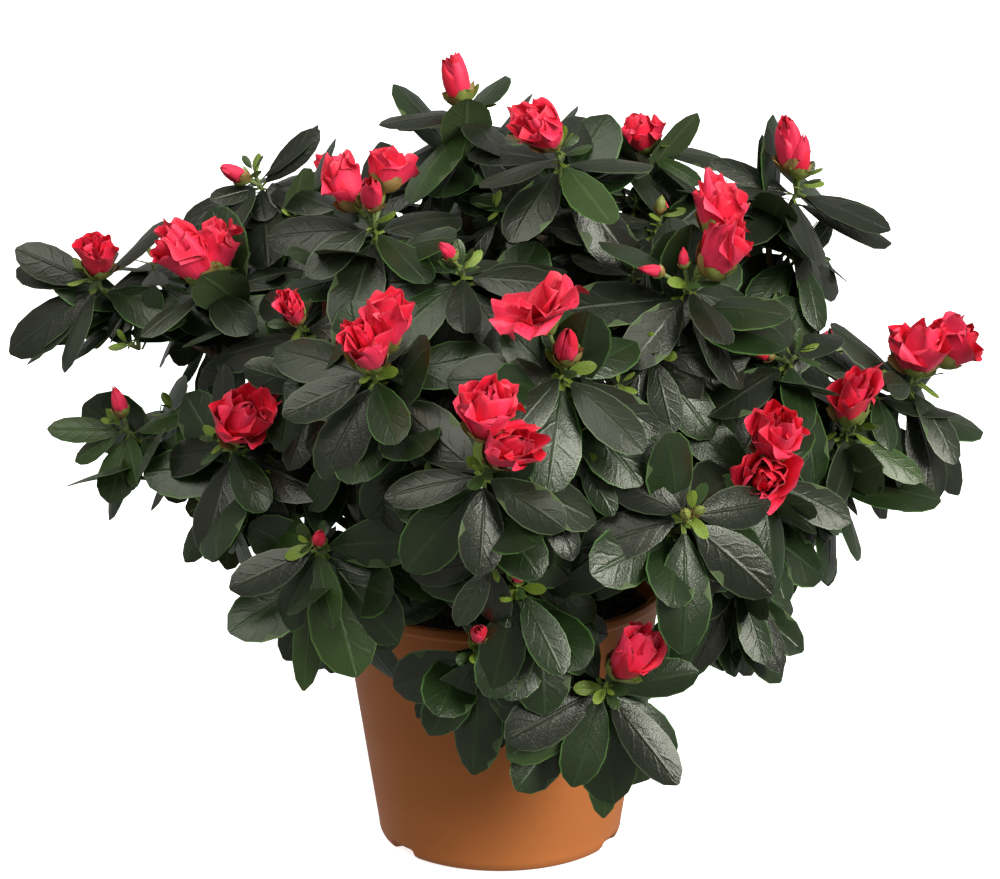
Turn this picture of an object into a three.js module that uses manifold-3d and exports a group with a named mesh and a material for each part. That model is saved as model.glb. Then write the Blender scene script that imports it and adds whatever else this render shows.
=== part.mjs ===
// An azalea shrub in bud and early bloom, growing in a tapered plastic pot. Millimetres, +Z up.
// The origin is the centre of the pot's flat underside, +X is the plant's right, and its fuller side
// faces -Y.
// A short trunk stands on the soil and forks into boughs. Each bough ends where it enters a mass of
// foliage, and each mass is the closed outer shape of one or two leafy shoots with their flowers.
import * as THREE from "three";
import { mergeVertices } from "three/addons/utils/BufferGeometryUtils.js";
import Module from "manifold-3d";

const wasm = await Module();
wasm.setup();

// ---- driving dimensions ----

const GAP = 0.4; // between solids that touch

const POT = {
  height: 106,
  rimRadius: 65.5,
  lipHeight: 4.5,
  lipDepth: 1.1,
  shoulderRadius: 49.5, // where the wall meets the rounded corner of the base
  shoulderHeight: 7,
  footRadius: 46, // of the flat underside
  wall: 1.6,
  floor: 6,
  segments: 40,
};
const CHANNEL = { count: 3, firstTurn: -54, width: 14, height: 4.4, inner: 18 };

const SOIL = { edge: 94, crest: 98, crestRadius: 15, segments: 24 };

const TRUNK = {
  height: 27,
  flareRadius: 10.5,
  waistRadius: 6.8,
  topRadius: 6.2,
  lean: 2.5,
  sides: 10,
  rings: 8,
};

const HEART_HEIGHT = 128; // the shoots' turn, lift and reach are measured from this point on the pot's axis
const BOUGH = { baseRadius: 3.1, tipRadius: 1.7, sides: 6, rings: 6 };
const HANGING_LIFT = 8; // a bough to a shoot with less lift, in degrees, arches over the pot's rim
const HANGING_ARCH = 42;

const LOBE_DEPTH = 0.09; // how far the outline of a mass swings in and out between its leaves
const FACE_UP = 0.55; // how far a mass turns its face from straight outwards towards the sky

// Each shoot leaves the heart of the crown at a turn (degrees round the pot from the front, positive to the
// right) and a lift (degrees above level) and reaches this far, in mm. Its mass is span wide and depth thick.
const SHOOTS = {
  // the top
  top_left: { turn: -85, lift: 84, reach: 162, span: 66, depth: 58 },
  top: { turn: 27, lift: 71, reach: 160, span: 84, depth: 56 },
  top_back: { turn: 120, lift: 65, reach: 158, span: 68, depth: 52 },
  top_right: { turn: 86, lift: 63, reach: 136, span: 62, depth: 46 },
  upper_left: { turn: -36, lift: 57, reach: 158, span: 84, depth: 58 },
  middle_upper: { turn: -5, lift: 50, reach: 146, span: 66, depth: 50 },
  upper_right: { turn: 41, lift: 47, reach: 158, span: 84, depth: 60 },
  // the left side
  left_top: { turn: -97, lift: 54, reach: 160, span: 74, depth: 56 },
  left_shoulder: { turn: -72, lift: 43, reach: 156, span: 70, depth: 58 },
  left_tip: { turn: -84, lift: 33, reach: 187, span: 74, depth: 52 },
  left_inner: { turn: -44, lift: 40, reach: 148, span: 62, depth: 50 },
  left_low_tip: { turn: -82, lift: 16, reach: 155, span: 68, depth: 52 },
  left_low: { turn: -56, lift: 20, reach: 142, span: 76, depth: 56 },
  // the middle
  middle_left: { turn: -21, lift: 34, reach: 154, span: 84, depth: 58 },
  middle_right: { turn: 10, lift: 35, reach: 160, span: 80, depth: 60 },
  front_centre: { turn: -2, lift: 21, reach: 160, span: 88, depth: 58 },
  front_right: { turn: 29, lift: 15, reach: 152, span: 86, depth: 54 },
  // the right side
  right_top: { turn: 88, lift: 49, reach: 178, span: 78, depth: 60 },
  right_inner: { turn: 62, lift: 34, reach: 148, span: 64, depth: 50 },
  right_tip: { turn: 87, lift: 19, reach: 176, span: 70, depth: 62 },
  right_middle: { turn: 74, lift: 13, reach: 150, span: 72, depth: 54 },
  right_low: { turn: 50, lift: 14, reach: 140, span: 62, depth: 54 },
  // the skirt in front
  front_left_low: { turn: -34, lift: 6, reach: 126, span: 80, depth: 54 },
  front_low: { turn: -6, lift: -9, reach: 112, span: 66, depth: 44 },
  front_low_right: { turn: 18, lift: -19, reach: 126, span: 78, depth: 50 },
  front_middle_low: { turn: 6, lift: 4, reach: 126, span: 56, depth: 44 },
  right_skirt: { turn: 56, lift: -2, reach: 116, span: 74, depth: 52 },
  // the far side
  back_left_top: { turn: -133, lift: 55, reach: 150, span: 78, depth: 56 },
  back_top: { turn: 172, lift: 66, reach: 150, span: 80, depth: 56 },
  back_right_top: { turn: 125, lift: 42, reach: 156, span: 82, depth: 58 },
  back_left_tip: { turn: -112, lift: 32, reach: 162, span: 78, depth: 56 },
  back_left_middle: { turn: -143, lift: 33, reach: 158, span: 84, depth: 58 },
  back_middle: { turn: -176, lift: 40, reach: 156, span: 84, depth: 58 },
  back_right_middle: { turn: 152, lift: 30, reach: 160, span: 84, depth: 58 },
  back_right_tip: { turn: 114, lift: 20, reach: 156, span: 82, depth: 58 },
  back_left_low: { turn: -117, lift: 8, reach: 142, span: 80, depth: 54 },
  back_left_skirt: { turn: -148, lift: 7, reach: 134, span: 80, depth: 54 },
  back_skirt: { turn: -178, lift: 12, reach: 144, span: 82, depth: 56 },
  back_right_skirt: { turn: 150, lift: 4, reach: 132, span: 80, depth: 54 },
  back_right_low: { turn: 118, lift: 1, reach: 128, span: 80, depth: 54 },
};

// Each bough reaches for one of the shoots. The low ring leaves the trunk first.
const BOUGHS = {
  low: [
    "left_low_tip",
    "front_left_low",
    "front_low_right",
    "right_middle",
    "back_right_low",
    "back_left_skirt",
  ],
  high: ["left_tip", "middle_left", "front_right", "right_tip", "back_right_middle", "back_left_middle"],
  leader: ["top_left"], // carries the trunk's line upwards
};

// ---- solids ----

function solidOf(geometry) {
  geometry.deleteAttribute("normal");
  geometry.deleteAttribute("uv");
  const merged = mergeVertices(geometry, 1e-3);
  return new wasm.Manifold(
    new wasm.Mesh({
      numProp: 3,
      vertProperties: merged.attributes.position.array,
      triVerts: new Uint32Array(merged.index.array),
    }),
  );
}

function geometryOf(solid) {
  const { vertProperties, triVerts } = solid.getMesh();
  const geometry = new THREE.BufferGeometry();
  geometry.setAttribute("position", new THREE.BufferAttribute(vertProperties, 3));
  geometry.setIndex(new THREE.BufferAttribute(triVerts, 1));
  geometry.computeVertexNormals();
  return geometry;
}

// A LatheGeometry turns about +Y, so it is stood up on +Z. The profile lists [radius, height].
function turned(profile, segments) {
  const points = profile.map(([radius, height]) => new THREE.Vector2(radius, height));
  return new THREE.LatheGeometry(points, segments).rotateX(Math.PI / 2);
}

// The piece of a cut solid that comes nearest to a point.
function pieceNearest(solid, point) {
  const distance = (piece) => {
    const { min, max } = piece.boundingBox();
    const box = new THREE.Box3(new THREE.Vector3(...min), new THREE.Vector3(...max));
    return box.distanceToPoint(point);
  };
  return solid.decompose().sort((a, b) => distance(a) - distance(b))[0];
}

function largestPiece(solid) {
  return solid.decompose().sort((a, b) => b.volume() - a.volume())[0];
}

// ---- the pot and its soil ----

const innerRadiusAt = (height) => {
  const share = (height - POT.shoulderHeight) / (POT.height - POT.shoulderHeight);
  return THREE.MathUtils.lerp(POT.shoulderRadius, POT.rimRadius - POT.lipDepth, share) - POT.wall;
};

function potSolid() {
  const wallTop = POT.height - POT.lipHeight;
  const corner = [1, 2].map((step) => {
    const angle = (step * Math.PI) / 6;
    const radius = POT.footRadius + (POT.shoulderRadius - POT.footRadius) * Math.sin(angle);
    return [radius, POT.shoulderHeight * (1 - Math.cos(angle))];
  });
  const shell = solidOf(
    turned(
      [
        [0, 0],
        [POT.footRadius, 0],
        ...corner,
        [POT.shoulderRadius, POT.shoulderHeight],
        [innerRadiusAt(wallTop) + POT.wall, wallTop],
        [POT.rimRadius, wallTop + 0.8],
        [POT.rimRadius, POT.height - 0.8],
        [POT.rimRadius - 0.8, POT.height],
        [innerRadiusAt(POT.height), POT.height],
        [innerRadiusAt(POT.floor + 3), POT.floor + 3],
        [innerRadiusAt(POT.floor + 3) - 3, POT.floor],
        [0, POT.floor],
      ],
      POT.segments,
    ),
  );
  const length = POT.rimRadius - CHANNEL.inner;
  const channels = Array.from({ length: CHANNEL.count }, (_, i) => {
    const box = new THREE.BoxGeometry(CHANNEL.width, length, 2 * CHANNEL.height);
    box.translate(0, -CHANNEL.inner - length / 2, 0);
    box.rotateZ(THREE.MathUtils.degToRad(CHANNEL.firstTurn + (i * 360) / CHANNEL.count));
    return solidOf(box);
  });
  return channels.reduce((solid, channel) => solid.subtract(channel), shell);
}

function soilSolid() {
  const bottom = POT.floor + GAP;
  return solidOf(
    turned(
      [
        [0, bottom],
        [innerRadiusAt(POT.floor + 3) - 3 - GAP, bottom],
        [innerRadiusAt(POT.floor + 3) - GAP, POT.floor + 3],
        [innerRadiusAt(SOIL.edge) - GAP, SOIL.edge],
        [(innerRadiusAt(SOIL.edge) + SOIL.crestRadius) / 2, (SOIL.edge + SOIL.crest) / 2 + 0.6],
        [SOIL.crestRadius, SOIL.crest],
        [0, SOIL.crest],
      ],
      SOIL.segments,
    ),
  );
}

// ---- the trunk and boughs ----

// A limb of round section: one ring of points at each step along the path, closed by a fan at both ends.
function limbSolid(path, radiusAt, sides, rings) {
  const frames = path.computeFrenetFrames(rings - 1, false);
  const positions = [];
  for (let ring = 0; ring < rings; ring++) {
    const along = ring / (rings - 1);
    const centre = path.getPointAt(along);
    for (let side = 0; side < sides; side++) {
      const angle = (2 * Math.PI * side) / sides;
      const point = centre
        .clone()
        .addScaledVector(frames.normals[ring], radiusAt(along) * Math.cos(angle))
        .addScaledVector(frames.binormals[ring], radiusAt(along) * Math.sin(angle));
      positions.push(...point.toArray());
    }
  }
  const foot = positions.length / 3;
  positions.push(...path.getPointAt(0).toArray(), ...path.getPointAt(1).toArray());
  const faces = [];
  for (let side = 0; side < sides; side++) {
    const next = (side + 1) % sides;
    for (let ring = 0; ring < rings - 1; ring++) {
      const [low, high] = [ring * sides, (ring + 1) * sides];
      faces.push(low + side, low + next, high + next, low + side, high + next, high + side);
    }
    const last = (rings - 1) * sides;
    faces.push(foot, next, side, foot + 1, last + side, last + next);
  }
  const geometry = new THREE.BufferGeometry();
  geometry.setAttribute("position", new THREE.Float32BufferAttribute(positions, 3));
  geometry.setIndex(faces);
  return solidOf(geometry);
}

const trunkFoot = new THREE.Vector3(0, 0, SOIL.crest + GAP);
const trunkTop = new THREE.Vector3(TRUNK.lean, 0, trunkFoot.z + TRUNK.height);

function trunkSolid(growth = 0) {
  const path = new THREE.CubicBezierCurve3(
    trunkFoot,
    new THREE.Vector3(0, 0, trunkFoot.z + TRUNK.height * 0.4),
    new THREE.Vector3(TRUNK.lean, 0, trunkFoot.z + TRUNK.height * 0.7),
    trunkTop,
  );
  const radiusAt = (along) => {
    const flare = (TRUNK.flareRadius - TRUNK.waistRadius) * Math.max(0, 1 - along / 0.45) ** 2;
    return growth + flare + THREE.MathUtils.lerp(TRUNK.waistRadius, TRUNK.topRadius, along);
  };
  return limbSolid(path, radiusAt, TRUNK.sides, TRUNK.rings);
}

// The unit vector of a turn and a lift, both in degrees.
function direction(turn, lift) {
  const [t, l] = [turn, lift].map(THREE.MathUtils.degToRad);
  return new THREE.Vector3(Math.sin(t) * Math.cos(l), -Math.cos(t) * Math.cos(l), Math.sin(l));
}

const UP = new THREE.Vector3(0, 0, 1);
const heart = new THREE.Vector3(0, 0, HEART_HEIGHT);
const centreOf = ({ turn, lift, reach }) => direction(turn, lift).multiplyScalar(reach).add(heart);

// A bough leaves the trunk's flank at a height, springs up and outwards, and reaches for its shoot.
function boughSolid(shoot, startHeight, growth = 0) {
  const out = direction(shoot.turn, 0);
  const start = new THREE.Vector3(TRUNK.lean, 0, startHeight).addScaledVector(out, TRUNK.topRadius * 0.5);
  const end = centreOf(shoot);
  const arch = shoot.lift < HANGING_LIFT ? HANGING_ARCH : 0.1 * (end.z - start.z);
  const bend = start.clone().lerp(end, 0.5).addScaledVector(UP, arch);
  const path = new THREE.QuadraticBezierCurve3(start, bend, end);
  const radiusAt = (along) => growth + THREE.MathUtils.lerp(BOUGH.baseRadius, BOUGH.tipRadius, along);
  return limbSolid(path, radiusAt, BOUGH.sides, BOUGH.rings);
}

// ---- the masses of foliage ----

// The rounded outer shape of a shoot: wide across its face, its outline swinging in and out by lobes,
// its skirt drooping. phase turns the lobes, so that no two masses are alike.
function massSolid(shoot, phase) {
  const facing = direction(shoot.turn, shoot.lift).addScaledVector(UP, FACE_UP).normalize();
  const across = new THREE.Vector3().crossVectors(UP, facing).normalize();
  const along = new THREE.Vector3().crossVectors(facing, across);
  const centre = centreOf(shoot);
  const geometry = new THREE.OctahedronGeometry(1, 3);
  geometry.deleteAttribute("normal");
  geometry.deleteAttribute("uv");
  const places = geometry.attributes.position;
  const lobes = 5 + (phase % 2);
  for (let i = 0; i < places.count; i++) {
    const [x, y, z] = [places.getX(i), places.getY(i), places.getZ(i)];
    const rim = 1 - z * z;
    const swing = 1 + LOBE_DEPTH * rim * Math.cos(lobes * Math.atan2(y, x) + 2.4 * phase);
    const lump = 1 + 0.05 * Math.sin(3.1 * x + 1.7 * phase) * Math.cos(2.7 * y - 2.3 * z + phase);
    const half = (shoot.span / 2) * swing * lump;
    const thick = shoot.depth * (z > 0 ? 0.55 : 0.45) * lump;
    const droop = 0.14 * shoot.depth * rim;
    const point = centre
      .clone()
      .addScaledVector(across, half * x)
      .addScaledVector(along, half * y)
      .addScaledVector(facing, thick * z - droop);
    places.setXYZ(i, ...point.toArray());
  }
  return solidOf(geometry);
}

// Where two masses would meet, both end at a plane between them, nearer to the smaller one.
function partAtPlanes(solids, shoots) {
  const names = Object.keys(solids);
  names.forEach((a, i) =>
    names.slice(i + 1).forEach((b) => {
      if (solids[a].intersect(solids[b]).volume() < 1e-3) return;
      const [from, to] = [centreOf(shoots[a]), centreOf(shoots[b])];
      const apart = from.distanceTo(to);
      const normal = to.clone().sub(from).divideScalar(apart);
      const share = (apart ** 2 + (shoots[a].span / 2) ** 2 - (shoots[b].span / 2) ** 2) / (2 * apart ** 2);
      const middle = normal.dot(from) + share * apart;
      solids[a] = solids[a].trimByPlane(normal.clone().negate().toArray(), GAP / 2 - middle);
      solids[b] = solids[b].trimByPlane(normal.toArray(), middle + GAP / 2);
    }),
  );
}

// The space kept clear of foliage: the pot with some air over its rim, and the forking stems.
function clearedSpace() {
  return solidOf(
    turned(
      [
        [0, -1],
        [POT.shoulderRadius + 2, -1],
        [POT.shoulderRadius + 2, POT.shoulderHeight],
        [POT.rimRadius + 2, POT.height],
        [POT.rimRadius - 2, POT.height + 6],
        [24, POT.height + 14],
        [0, POT.height + 26],
      ],
      POT.segments / 2,
    ),
  );
}

// ---- assembly ----

const material = (red, green, blue, roughness) =>
  new THREE.MeshStandardMaterial({ color: new THREE.Color(red, green, blue), roughness, metalness: 0 });
const foliageGreen = material(0.045, 0.07, 0.04, 0.55);
const barkBrown = material(0.16, 0.1, 0.06, 0.85);
const potTerracotta = material(0.55, 0.22, 0.1, 0.5);
const peatBrown = material(0.05, 0.03, 0.02, 0.95);

const masses = {};
const cleared = clearedSpace();
Object.entries(SHOOTS).forEach(([name, shoot], phase) => {
  masses[name] = largestPiece(massSolid(shoot, phase).subtract(cleared));
});
partAtPlanes(masses, SHOOTS);

const boughs = {};
let taken = trunkSolid(GAP);
const forks = [
  [BOUGHS.low, trunkFoot.z + TRUNK.height * 0.55],
  [BOUGHS.high, trunkFoot.z + TRUNK.height * 0.86],
  [BOUGHS.leader, trunkTop.z + 1],
];
const allMasses = Object.values(masses).reduce((sum, mass) => sum.add(mass));
for (const [targets, height] of forks) {
  for (const name of targets) {
    const whole = boughSolid(SHOOTS[name], height).subtract(taken);
    boughs[name] = pieceNearest(whole.subtract(allMasses), trunkTop);
    taken = taken.add(boughSolid(SHOOTS[name], height, GAP));
  }
}

const azalea = new THREE.Group();
const place = (name, solid, surface) => {
  const mesh = new THREE.Mesh(geometryOf(solid), surface);
  mesh.name = name;
  azalea.add(mesh);
};
place("pot", potSolid(), potTerracotta);
place("soil", soilSolid(), peatBrown);
place("trunk", trunkSolid(), barkBrown);
Object.entries(boughs).forEach(([name, solid]) => place(`bough_${name}`, solid, barkBrown));
Object.entries(masses).forEach(([name, solid]) => place(`mass_${name}`, solid, foliageGreen));

export default azalea;
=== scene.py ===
"""An azalea in bud and early bloom, in its plastic grow pot.

The frame gives a trunk, its boughs and the masses of foliage. Here the limbs get bark, and each mass is
grown: a branch leaves the nearest limb, twigs leave the branch, and every twig ends in a whorl of leaves.
The main whorl of most masses carries buds or flowers. All lengths are metres; MM makes millimetres of them.
"""

import math

import bpy
import numpy as np
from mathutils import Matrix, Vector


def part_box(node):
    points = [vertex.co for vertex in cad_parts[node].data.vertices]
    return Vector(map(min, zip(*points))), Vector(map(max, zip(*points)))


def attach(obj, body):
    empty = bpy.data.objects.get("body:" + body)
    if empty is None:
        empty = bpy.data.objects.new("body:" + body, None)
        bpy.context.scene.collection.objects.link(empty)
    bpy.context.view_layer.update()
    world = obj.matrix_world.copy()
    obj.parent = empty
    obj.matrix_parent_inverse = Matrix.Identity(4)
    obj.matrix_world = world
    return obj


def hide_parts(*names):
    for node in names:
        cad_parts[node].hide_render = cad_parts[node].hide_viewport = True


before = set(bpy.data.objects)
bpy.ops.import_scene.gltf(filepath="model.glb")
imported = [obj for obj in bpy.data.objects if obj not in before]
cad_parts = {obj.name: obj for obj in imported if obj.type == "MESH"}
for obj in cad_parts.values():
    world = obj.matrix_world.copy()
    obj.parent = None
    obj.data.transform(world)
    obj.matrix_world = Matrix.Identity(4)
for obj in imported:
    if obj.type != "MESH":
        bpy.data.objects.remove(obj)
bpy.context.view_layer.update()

MM = 0.001
DEGREE = math.pi / 180
GOLDEN_ANGLE = 137.508 * DEGREE
UP = np.array([0.0, 0.0, 1.0])
BACK = np.array([0.0, 1.0, 0.0])
SEED = 11
A_POINT = 0.01 * MM  # the radius at which a ring of points counts as closed

# ---- sizes of the plant ----

LEAF = {"length": 44 * MM, "width": 21.5 * MM, "petiole": 4 * MM, "thickness": 0.45 * MM}
WHORL = {"leaves": 17, "young": 7, "stem": 15 * MM}
SIDE_WHORL = {"leaves": 11, "young": 4, "stem": 11 * MM}

# How the leaves of a whorl change, from the lowest and oldest to the last, or among the young ones from the
# first to the last: the value at the start, the change, and the power of the way that the change follows.
OLD_RISE, YOUNG_RISE = (-14, 60, 1.2), (32, 40, 1)  # degrees above level
OLD_REACH, YOUNG_REACH = (1.06, -0.7, 1.6), (0.28, -0.13, 1)  # length as a share of a full-grown leaf's
WHORL_WIDTH = (1, -0.2, 1)
WHORL_BEND = (0.5, -0.35, 1)  # radians from foot to tip

# How much the leaves differ: the spread of a normal value, or the two ends of an even one.
SPREAD = {
    "rise": 7,
    "tilt": 10,
    "bend": 0.15,
    "twist": 0.22,
    "length": (0.88, 1.1),
    "width": (0.92, 1.08),
    "cup": (0.05, 0.3),
}
# Chances: that a young leaf is light green, that one of the last old leaves is fresh (after late_from of the
# way), that a green leaf is fresh, and that a dark leaf is charcoal.
CHANCE = {"light": 0.6, "late": 0.07, "late_from": 0.6, "fresh": 0.15, "charcoal": 0.68}

# Limbs: the radius where each starts and ends, and its number of sides. Branches and twigs also have their
# steps, and how far they arch as a share of their length. The trunk flares below the share "flare" of its
# height, and the roots at its foot are lobes of a share of its radius.
TRUNK = {"radius": 6.4 * MM, "flare": 0.45, "roots": 5, "root_depth": 0.16, "root_height": 0.4, "sides": 48}
BOUGH = {"thick": 3.4 * MM, "thin": 1.7 * MM, "sides": 14}
BRANCH = {"thick": 1.7 * MM, "thin": 1.25 * MM, "sides": 8, "steps": 10, "arch": 0.06}
TWIG = {"thick": 1.2 * MM, "thin": 0.85 * MM, "sides": 7, "steps": 8, "arch": -0.08}
STALK = {"radius": 0.9 * MM, "sides": 7, "steps": 6, "behind": 2 * MM, "into_flower": 0.04}

# A mass: how far its branch ends behind its middle, how far its main whorl stands before it, and the span
# from which it has a third side whorl. A side whorl stands aside by a share of the span and behind by some
# millimetres, and is smaller than the main one.
MASS = {"core": 13 * MM, "tip": 8 * MM, "wide": 50 * MM}
SIDE_SHOOT = {"aside": 0.36, "lean": 0.6, "turn": 0.3, "behind": (8, 18), "size": (0.72, 0.88)}

# Older leaves on each branch, behind its whorls: their number, how far their ways scatter, the ends of their
# length as a share of a full-grown leaf's, their width as a share of their length, and where they stand in mm.
INNER = {
    "leaves": 6,
    "scatter": 0.9,
    "length": (0.8, 1.05),
    "width": 0.54,
    "depth": (-4, 6),
    "bend": (0.2, 0.7),
    "cup": 0.15,
}

# Flowers and buds by mass: kind, length in mm, and the way from the shoot's centre to the flower's
# centre in mm (right, back, up).
BLOOMS = {
    "top_left": [("fat_bud", 23, (-5, 0, 12))],
    "top": [("double", 21, (-6, -8, 12))],
    "top_back": [("double", 20, (-3, -1, 6))],
    "right_top": [("fat_bud", 25, (-4, -2, 17)), ("bud", 19, (0, -6, 13))],
    "left_top": [("bud", 16, (-9, -4, 4))],
    "upper_left": [
        ("fat_bud", 19, (0, -10, 14)),
        ("half_open", 23, (-11, 1, 14)),
        ("double", 21, (6, 8, 20)),
    ],
    "left_shoulder": [("half_open", 28, (-5, -4, 13)), ("half_open", 25, (4, 3, 13))],
    "left_tip": [("half_open", 22, (2, -5, 11))],
    "left_inner": [("half_open", 18, (-2, -6, 9))],
    "left_low_tip": [("bud", 14, (-1, -3, 11))],
    "left_low": [("double", 27, (6, -12, 14))],
    "middle_left": [("half_open", 26, (5, -4, 19)), ("half_open", 26, (-1, -10, 12))],
    "middle_upper": [("bud", 12, (-5, -6, 10))],
    "middle_right": [("open", 26, (-9, -5, 26)), ("bud", 21, (1, -9, 12))],
    "front_centre": [("double", 25, (1, -8, 25)), ("double", 24, (8, -12, 14))],
    "upper_right": [
        ("half_open", 27, (12, -6, 14)),
        ("double", 26, (12, 4, 28)),
        ("bud", 11, (-14, -6, 8)),
        ("bud", 9, (-3, -4, 11)),
    ],
    "right_inner": [("bud", 10, (-11, -4, 3))],
    "front_right": [("green_bud", 9, (-2, -6, 2)), ("green_bud", 8, (3, -5, 3))],
    "right_low": [("double", 26, (3, -8, 19)), ("double", 24, (-1, -13, 4))],
    "right_middle": [("half_open", 28, (0, -8, 16))],
    "right_tip": [("double", 27, (1, -5, 16)), ("double", 27, (15, -2, 18))],
    "front_left_low": [("bud", 12, (1, -8, 5))],
    "front_low": [("fat_bud", 13, (0, -13, 12))],
    "front_middle_low": [("bud", 12, (-1, -16, 10))],
    "front_low_right": [("half_open", 26, (9, -10, 15))],
    "top_right": [("green_bud", 9, (0, 0, 6))],
    "back_left_top": [("rolled", 20, (-4, 14, 2))],
    "back_top": [("double", 22, (3, 15, 4))],
    "back_right_top": [("half_open", 23, (6, 10, 9))],
    "back_left_tip": [("bud", 15, (-5, 4, 10))],
    "back_left_middle": [("double", 24, (-5, 11, 14))],
    "back_middle": [("open", 21, (2, 13, 18)), ("bud", 15, (-9, 8, 10))],
    "back_right_middle": [("double", 23, (3, 12, 14)), ("half_open", 19, (11, 8, 9))],
    "back_right_tip": [("half_open", 21, (3, 12, 2))],
    "back_left_low": [("rolled", 20, (0, 16, -4))],
    "back_left_skirt": [("bud", 11, (-2, 7, 7))],
    "back_skirt": [("double", 23, (2, 10, 12))],
    "back_right_skirt": [("bud", 13, (3, 7, 9))],
    "back_right_low": [("half_open", 20, (6, 6, 11))],
}

# How far the tip of a mass's main shoot lies from where the growing rule puts it, in mm (right, up).
NUDGES = {
    "top": (0, 5),
    "top_left": (3, 2),
    "upper_left": (4, 3),
    "left_top": (0, 6),
    "left_inner": (8, 5),
    "left_low": (8, 4),
    "left_low_tip": (3, 3),
    "left_shoulder": (-4, -3),
    "middle_left": (1, 7),
    "middle_upper": (-9, 9),
    "middle_right": (-4, 3),
    "front_centre": (0, 8),
    "front_right": (-2, 4),
    "front_left_low": (4, 11),
    "front_middle_low": (-7, 6),
    "front_low_right": (3, 14),
    "front_low": (4, 3),
    "right_low": (-6, 10),
    "right_middle": (-8, 14),
    "right_tip": (-6, 3),
    "right_skirt": (-6, 2),
}

# The open place in front of each flower: where it starts and its radius as shares of the flower's length, and
# how far it reaches.
VIEW = {"start": 0.2, "radius": 0.42, "reach": 70 * MM}

# The share of green leaves in a mass: GREEN_SHARE at the top and GREEN_SHARE_LOW more at the bottom, or the
# mass's own. What a share has over 1 is added to the chance of a fresh green.
GREEN_SHARE, GREEN_SHARE_LOW = 0.22, 0.6
GREENNESS = {"left_low_tip": 1.6, "front_left_low": 0.95, "front_low": 1.0, "front_low_right": 0.95}
MAIN_SIZE = {"left_low_tip": 0.78}  # the size of the main whorl where it isn't 1

# Open places in the crown, kept clear of leaves: the two ends of each in mm, and its radius.
GAPS = [
    ((57, -30, 106), (50, -185, 150), 15),
    ((-32, -60, 98), (-29, -185, 138), 12),
    ((-150, -90, 212), (-158, 60, 178), 9),
    ((-116, -100, 218), (-128, 50, 180), 7),
    ((-133, -95, 214), (-142, 55, 178), 8),
    ((-130, -90, 153), (-145, 60, 108), 11),
    ((40, -30, 132), (37, -170, 173), 5),
]

# Leaves that make the crown's outline, by mass: the way they point (right, back, up), the length in mm, the
# width as a share of the length, and whether they are fresh green. They face the front.
OUTLINE_LEAF = {"towards": np.array([0.1, -0.7, 0.3]), "behind": 3 * MM, "bend": 0.3, "cup": 0.15}
OUTLINE_LEAVES = {
    "left_tip": [((-0.84, -0.1, -0.5), 45, 0.46, False), ((-0.9, 0.1, 0.45), 37, 0.42, False)],
    "left_low_tip": [
        ((-1.0, 0.0, 0.1), 33, 0.34, True),
        ((-0.3, -0.5, -0.8), 29, 0.6, True),
        ((0.35, -0.5, -0.8), 33, 0.6, True),
        ((0.7, -0.1, 0.7), 30, 0.4, True),
    ],
    "left_top": [
        ((-0.95, -0.1, -0.3), 34, 0.34, False),
        ((-0.8, -0.5, 0.0), 22, 0.45, False),
        ((0.1, -0.8, -0.3), 20, 0.55, False),
        ((0.75, -0.5, -0.1), 24, 0.45, False),
        ((0.5, -0.1, 0.6), 33, 0.4, False),
    ],
    "top_back": [((0.9, -0.5, -0.3), 25, 0.4, True)],
    "right_top": [((0.95, -0.1, -0.2), 39, 0.34, False), ((-0.85, 0.0, 0.45), 36, 0.3, False)],
    "right_tip": [((0.5, -0.1, -0.8), 49, 0.36, False), ((0.3, -0.3, -0.8), 46, 0.4, False)],
    "right_middle": [((0.9, -0.1, -0.4), 36, 0.34, True)],
    "front_left_low": [
        ((-0.9, -0.3, -0.3), 37, 0.42, False),
        ((-0.15, -0.2, -1.0), 56, 0.22, True),
        ((0.25, -0.4, -0.85), 50, 0.5, True),
    ],
    "front_low_right": [
        ((0.65, -0.4, -0.7), 46, 0.36, False),
        ((0.05, 0.0, -1.0), 56, 0.24, True),
        ((-0.9, -0.5, -0.35), 42, 0.5, False),
    ],
    "right_skirt": [((0.5, -0.3, -0.8), 40, 0.36, False), ((-0.4, -0.4, -0.9), 38, 0.4, False)],
}

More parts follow.
